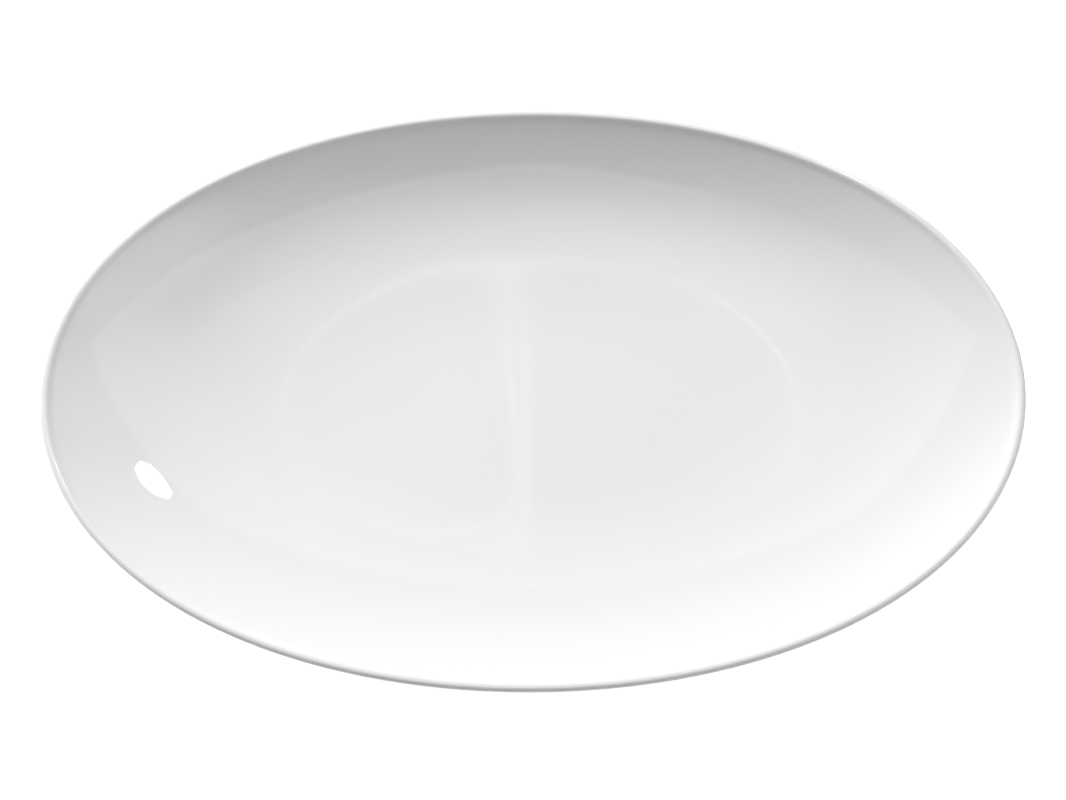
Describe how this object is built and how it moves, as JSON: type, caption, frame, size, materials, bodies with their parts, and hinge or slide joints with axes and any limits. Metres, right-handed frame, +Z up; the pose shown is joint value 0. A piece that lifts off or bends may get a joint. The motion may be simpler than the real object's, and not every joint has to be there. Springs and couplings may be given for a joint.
{
  "type": "serving platter",
  "caption": "Oval coupe serving platter in plain white glazed porcelain, with a gently rising wall, a thin rounded rim and a low oval foot ring.",
  "frame": {"origin": "middle of the oval plane that the foot ring stands on", "axes": "+X along the platter's length, +Y across its width, +Z up out of the eating face"},
  "size_m": [0.4, 0.255, 0.036],
  "materials": {
    "fired_porcelain": "matte, unglazed",
    "clear_white_glaze": "gloss"
  },
  "bodies": {
    "root": {"porcelain_body": "fired_porcelain", "glaze_coat": "clear_white_glaze", "base_glaze": "clear_white_glaze"}
  },
  "joints": []
}
